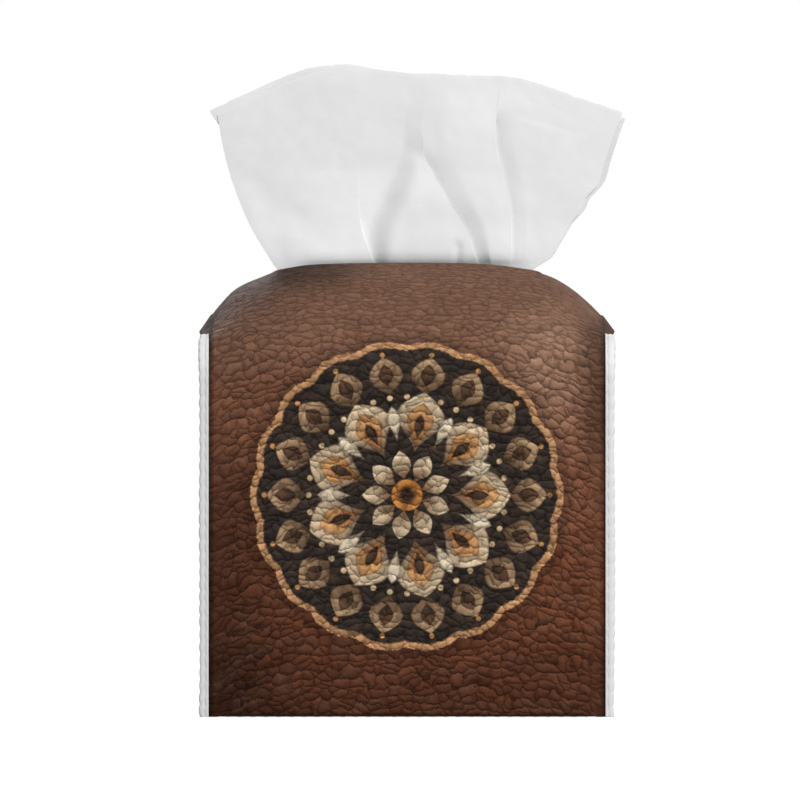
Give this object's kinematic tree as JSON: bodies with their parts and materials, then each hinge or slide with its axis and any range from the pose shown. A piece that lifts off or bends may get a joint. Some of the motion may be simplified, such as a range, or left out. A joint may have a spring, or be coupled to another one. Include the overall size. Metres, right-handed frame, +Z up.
{
  "type": "tissue box cover",
  "caption": "Soft leather-look cube tissue box cover with a domed slotted top, white bound side seams, a base flap with a hook-and-loop closure and a tissue standing in the slot.",
  "frame": {"origin": "middle of the base, on the plane that the cover stands on", "axes": "+Z up, the printed front faces -Y, +X to the right of someone who looks at the front"},
  "size_m": [0.1386, 0.1324, 0.2148],
  "materials": {
    "printed_leather": "satin pebbled print",
    "plain_leather": "satin pebbled",
    "binding": "matte",
    "thread": "matte",
    "closure_tape": "matte",
    "tissue": "matte"
  },
  "bodies": {
    "cover": {"outer_band": "printed_leather", "left_side_panel": "plain_leather", "right_side_panel": "plain_leather", "left_edge_binding": "binding", "right_edge_binding": "binding", "left_seam_thread": "thread", "right_seam_thread": "thread", "closure_ledge": "plain_leather", "loop_tape": "closure_tape", "tissue_pile": "tissue"},
    "flap": {"base_flap": "plain_leather", "hook_tape": "closure_tape"},
    "tissue": {"popup_tissue": "tissue"}
  },
  "joints": [
    {"name": "tissue_pull", "type": "slide", "parent": "cover", "child": "tissue", "axis": [0, 0, 1], "range_m": [0, 0.045]},
    {"name": "flap_fold", "type": "hinge", "parent": "cover", "child": "flap", "pos_m": [0, 0.0644, 0.0006], "axis": [1, 0, 0], "range_deg": [0, 150]}
  ]
}
